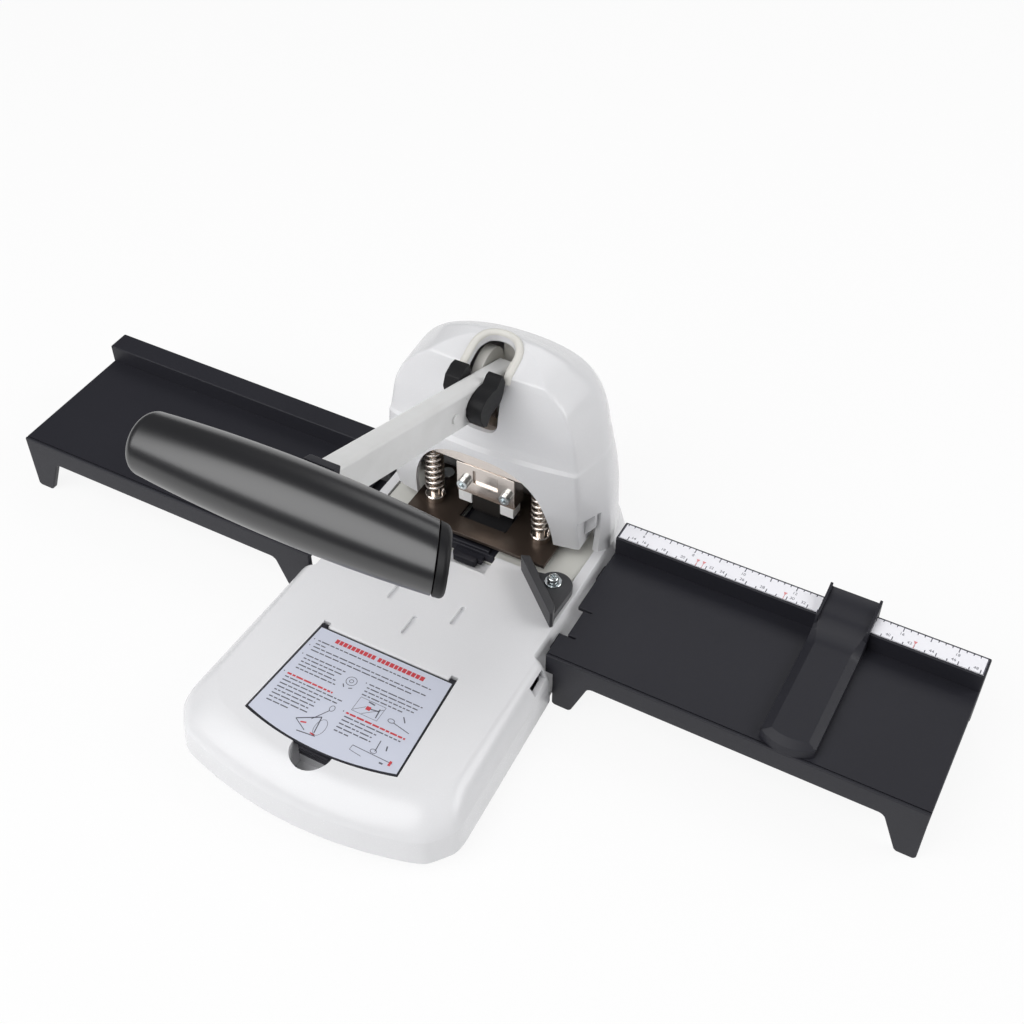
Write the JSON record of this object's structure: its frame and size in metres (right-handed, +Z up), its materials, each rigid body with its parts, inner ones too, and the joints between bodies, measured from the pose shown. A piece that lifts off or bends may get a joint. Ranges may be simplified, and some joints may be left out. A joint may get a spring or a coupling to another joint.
{
  "type": "heavy duty hole punch",
  "caption": "Lever-operated heavy duty punch with a white housing, side extension tables with a ruler and paper stop, corner guides and a lidded storage bin.",
  "frame": {"origin": "centre of the bounding box at floor level, on the plane of symmetry through the punch", "axes": "+Z up, +X to the right along the tables, -Y towards the user"},
  "size_m": [0.4854, 0.25, 0.1881],
  "materials": {
    "white_shell": "glossy white moulded shell",
    "ivory_bed": "ivory painted casting",
    "black_plastic": "fine matte black",
    "black_grip": "satin black",
    "rubber": "soft matte",
    "steel": "bright zinc",
    "nickel": "polished nickel",
    "dark_nickel": "dark polished nickel",
    "lever_paint": "smooth white paint",
    "sheet_steel": "plain sheet",
    "label": "printed film",
    "ruler": "printed film",
    "brass": "turned",
    "disc": "cream moulded"
  },
  "bodies": {
    "base": {"base_housing": "white_shell", "base_plate": "sheet_steel", "rubber_feet": "rubber", "base_screws": "steel", "bed": "ivory_bed", "frame_cheek_left": "sheet_steel", "frame_cheek_right": "sheet_steel", "frame_bolts": "steel", "tie_bolt": "steel", "punch_plate": "dark_nickel", "plate_spacer": "sheet_steel", "plate_screws": "steel", "guide_posts": "nickel", "post_collars": "nickel", "return_spring_left": "nickel", "return_spring_right": "nickel", "head_cover": "white_shell", "pivot_pin": "steel", "pivot_clips": "steel", "left_table": "black_plastic", "right_table": "black_plastic", "ruler_strip": "ruler", "storage_tray": "white_shell", "guide_screws": "steel", "guide_washers": "steel"},
    "lever": {"lever_arm": "lever_paint", "lever_hub": "sheet_steel", "press_roller": "steel", "roller_pin": "steel", "cheek_cap_left": "black_plastic", "cheek_cap_right": "black_plastic", "lever_rivet": "steel", "lever_collar": "black_plastic", "handle_core": "sheet_steel", "handle_grip": "black_grip", "handle_end_caps": "black_grip"},
    "ram": {"ram_crosshead": "nickel", "ram_bushes": "brass", "punch_holder": "nickel", "punch_blade": "dark_nickel", "clamp_screws": "steel", "square_nuts": "nickel"},
    "stop": {"paper_stop": "black_plastic"},
    "lid": {"storage_lid": "black_plastic", "label_plate": "label"},
    "disc_tray": {"disc_holder": "black_plastic"},
    "disc": {"cutting_disc": "disc"},
    "guide_left": {"corner_guide_left": "black_plastic"},
    "guide_right": {"corner_guide_right": "black_plastic"}
  },
  "joints": [
    {"name": "lever_pivot", "type": "hinge", "parent": "base", "child": "lever", "pos_m": [0, 0.0685, 0.1145], "axis": [1, 0, 0], "range_deg": [0, 28], "stiffness_Nm_per_rad": 3, "springref_deg": -28.65},
    {"name": "ram_slide", "type": "slide", "parent": "base", "child": "ram", "axis": [0, 0, -1], "range_m": [0, 0.0068], "deforming": ["return_spring_left", "return_spring_right"]},
    {"name": "stop_slide", "type": "slide", "parent": "base", "child": "stop", "axis": [1, 0, 0], "range_m": [-0.095, 0.048]},
    {"name": "lid_hinge", "type": "hinge", "parent": "base", "child": "lid", "pos_m": [0, -0.0407, 0.03065], "axis": [1, 0, 0], "range_deg": [-75, 0]},
    {"name": "disc_tray_slide", "type": "slide", "parent": "base", "child": "disc_tray", "axis": [0, -1, 0], "range_m": [0, 0.006]},
    {"name": "cutting_disc_turn", "type": "hinge", "parent": "disc_tray", "child": "disc", "pos_m": [0, 0.0555, 0.0293], "axis": [0, 0, 1], "continuous": true},
    {"name": "guide_left_slide", "type": "slide", "parent": "base", "child": "guide_left", "axis": [-0.669, 0.7433, 0], "range_m": [-0.002, 0.002]},
    {"name": "guide_right_slide", "type": "slide", "parent": "base", "child": "guide_right", "axis": [0.669, 0.7433, 0], "range_m": [-0.002, 0.002]}
  ],
  "couplings": [
    {"joint": "ram_slide", "follows": "lever_pivot", "m_per_rad": 0.013785}
  ]
}
